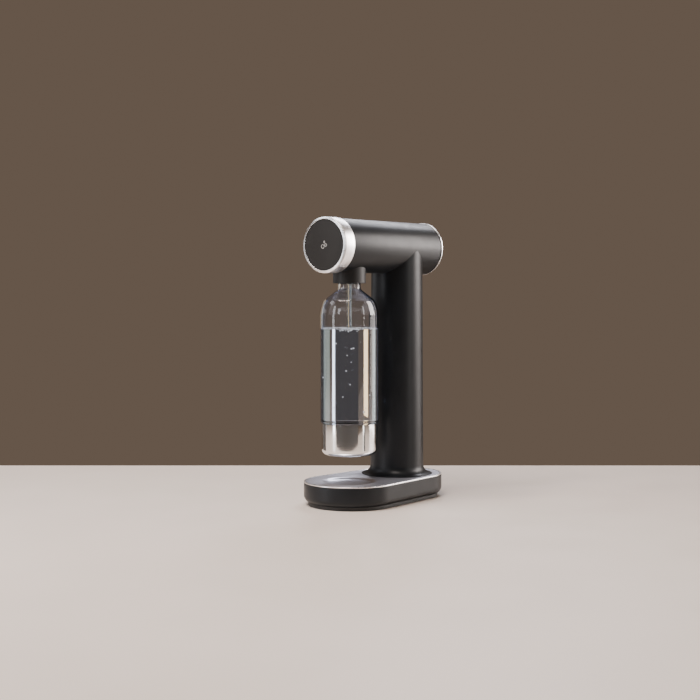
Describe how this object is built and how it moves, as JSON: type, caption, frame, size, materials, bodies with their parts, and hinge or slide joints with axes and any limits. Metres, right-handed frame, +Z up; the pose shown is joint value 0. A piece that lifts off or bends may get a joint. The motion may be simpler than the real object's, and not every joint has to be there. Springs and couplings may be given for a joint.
{
  "type": "soda carbonator",
  "caption": "Manual soda carbonator with a horizontal tube head on a round column, a pill-shaped base and a clear bottle in a steel cup; pressing the round front button lets gas in.",
  "frame": {"origin": "centre of the footprint, on the surface it stands on", "axes": "+Z up, -Y towards the front button, +X to the right of someone looking along +Y"},
  "size_m": [0.137, 0.2464, 0.4158],
  "materials": {
    "black_shell": "fine satin texture",
    "polished_rim": "polished",
    "steel_plate": "brushed",
    "foot_rubber": "matt",
    "dark_plastic": "matt",
    "screw_steel": "plain",
    "guide_plastic": "matt",
    "brushed_band": "brushed round the band",
    "chassis_metal": "as cast",
    "button_face": "satin",
    "rod_steel": "turned",
    "lever_metal": "as cast",
    "valve_brass": "machined",
    "seal_rubber": "matt",
    "insert_steel": "turned",
    "clear_tube": "clear",
    "cylinder_paint": "gloss paint",
    "clear_bottle": "clear",
    "cup_steel": "brushed"
  },
  "bodies": {
    "frame": {"base_shell": "black_shell", "base_trim_ring": "polished_rim", "base_plate": "steel_plate", "foot_ring": "foot_rubber", "bottom_cover": "dark_plastic", "base_screws": "screw_steel", "column_shell": "black_shell", "column_screws": "screw_steel", "cylinder_guides": "guide_plastic", "head_shell": "black_shell", "front_band": "brushed_band", "front_ring": "polished_rim", "back_cap": "black_shell", "back_ring": "polished_rim", "head_chassis": "chassis_metal", "chassis_screws": "screw_steel", "lever_pin": "rod_steel", "valve_block": "valve_brass", "valve_block_screws": "screw_steel", "cylinder_seal": "seal_rubber", "plunger_spring": "rod_steel", "gas_tube": "rod_steel", "gas_fittings": "valve_brass", "nozzle_block": "guide_plastic", "nozzle_screws": "screw_steel", "relief_valve": "valve_brass", "bottle_holder": "dark_plastic", "holder_insert": "insert_steel", "bottle_seal": "seal_rubber", "carbonating_tube": "clear_tube", "nozzle_tip": "clear_tube"},
    "button": {"button_disc": "button_face", "button_body": "dark_plastic", "push_rod": "rod_steel", "rod_clip": "rod_steel"},
    "lever": {"lever": "lever_metal"},
    "plunger": {"plunger": "rod_steel"},
    "cylinder": {"cylinder_vessel": "cylinder_paint", "cylinder_valve": "valve_brass", "valve_core": "rod_steel"},
    "door": {"cylinder_door": "dark_plastic"},
    "bottle": {"bottle_body": "clear_bottle", "bottle_cup": "cup_steel"}
  },
  "joints": [
    {"name": "button_press", "type": "slide", "parent": "frame", "child": "button", "axis": [0, 1, 0], "range_m": [0, 0.005], "stiffness_N_per_m": 2000, "springref_m": -0.002},
    {"name": "lever_pivot", "type": "hinge", "parent": "frame", "child": "lever", "pos_m": [0, 0.0419, 0.38], "axis": [-1, 0, 0], "range_deg": [0, 14.4]},
    {"name": "plunger_press", "type": "slide", "parent": "frame", "child": "plunger", "axis": [0, 0, -1], "range_m": [0, 0.0025], "deforming": ["plunger_spring"]},
    {"name": "cylinder_unscrew", "type": "hinge", "parent": "frame", "child": "cylinder", "pos_m": [0, 0.0519, 0.1], "axis": [0, 0, 1], "range_deg": [0, 900]},
    {"name": "door_turn", "type": "hinge", "parent": "frame", "child": "door", "pos_m": [0, 0.0519, 0.008], "axis": [0, 0, 1], "range_deg": [0, 30]},
    {"name": "bottle_drop", "type": "slide", "parent": "frame", "child": "bottle", "axis": [0, 0, -1], "range_m": [0, 0.036]}
  ],
  "couplings": [
    {"joint": "lever_pivot", "follows": "button_press", "rad_per_m": 50},
    {"joint": "plunger_press", "follows": "button_press", "ratio": 0.5}
  ]
}
